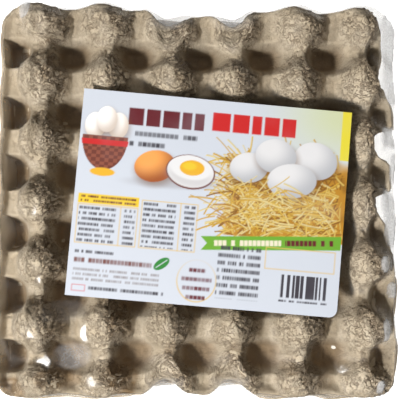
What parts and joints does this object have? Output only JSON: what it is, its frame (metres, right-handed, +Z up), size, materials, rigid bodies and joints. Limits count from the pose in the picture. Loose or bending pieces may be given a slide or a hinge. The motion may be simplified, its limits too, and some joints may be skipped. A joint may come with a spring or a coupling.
{
  "type": "film-wrapped egg tray pack",
  "caption": "Square shrink-wrapped pack of eggs: a moulded-pulp tray with posts covers a second tray, with a printed card on top.",
  "frame": {"origin": "on the floor under the middle of the pack", "axes": "+Z up; +X along the side of the cover tray with five cells, to the right as the card is read; +Y towards the card's top edge"},
  "size_m": [0.295, 0.295, 0.0958],
  "materials": {
    "moulded_pulp": "rough grey-brown moulded paper pulp",
    "printed_card": "smooth printed card, slightly glossy",
    "clear_film": "clear glossy shrink film",
    "egg_shell": "smooth white eggshell"
  },
  "bodies": {
    "root": {"wrapped_pack": "moulded_pulp", "label_card": "printed_card"}
  },
  "joints": []
}
